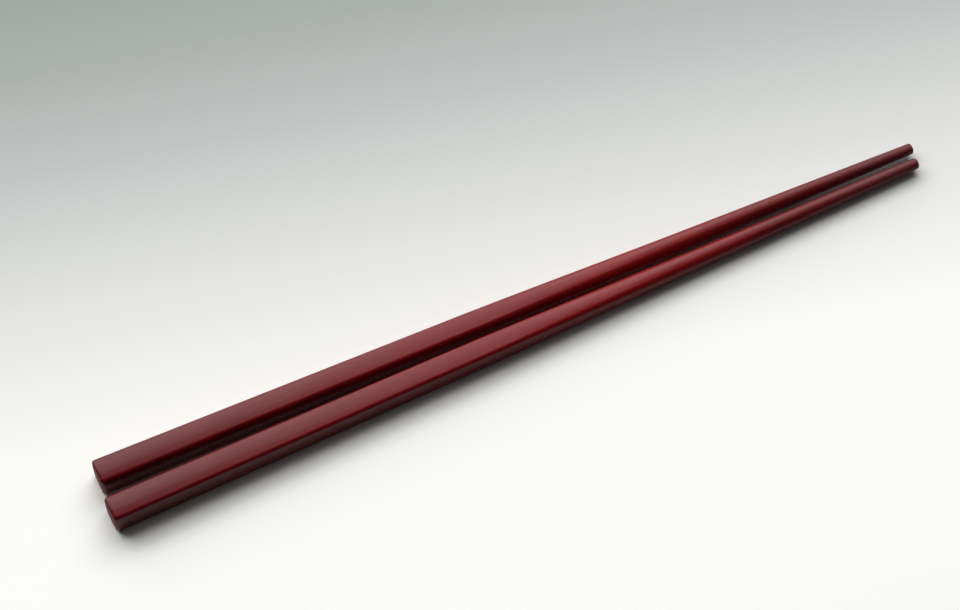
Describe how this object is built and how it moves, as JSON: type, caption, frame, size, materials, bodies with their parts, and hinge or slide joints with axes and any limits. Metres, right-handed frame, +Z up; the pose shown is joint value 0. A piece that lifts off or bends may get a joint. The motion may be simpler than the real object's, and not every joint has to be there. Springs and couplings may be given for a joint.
{
  "type": "pair of chopsticks",
  "caption": "Slender dark red plastic chopsticks with soft square handles that taper to blunt round points, lying side by side for picking up food.",
  "frame": {"origin": "on the table, in the middle of the space that the pair takes up", "axes": "+X from the handles towards the tips, +Y from the front stick towards the rear stick, +Z up"},
  "size_m": [0.231, 0.0184, 0.0076],
  "materials": {
    "lacquer_look_plastic": "satin"
  },
  "bodies": {
    "root": {"front_chopstick": "lacquer_look_plastic", "rear_chopstick": "lacquer_look_plastic"}
  },
  "joints": []
}
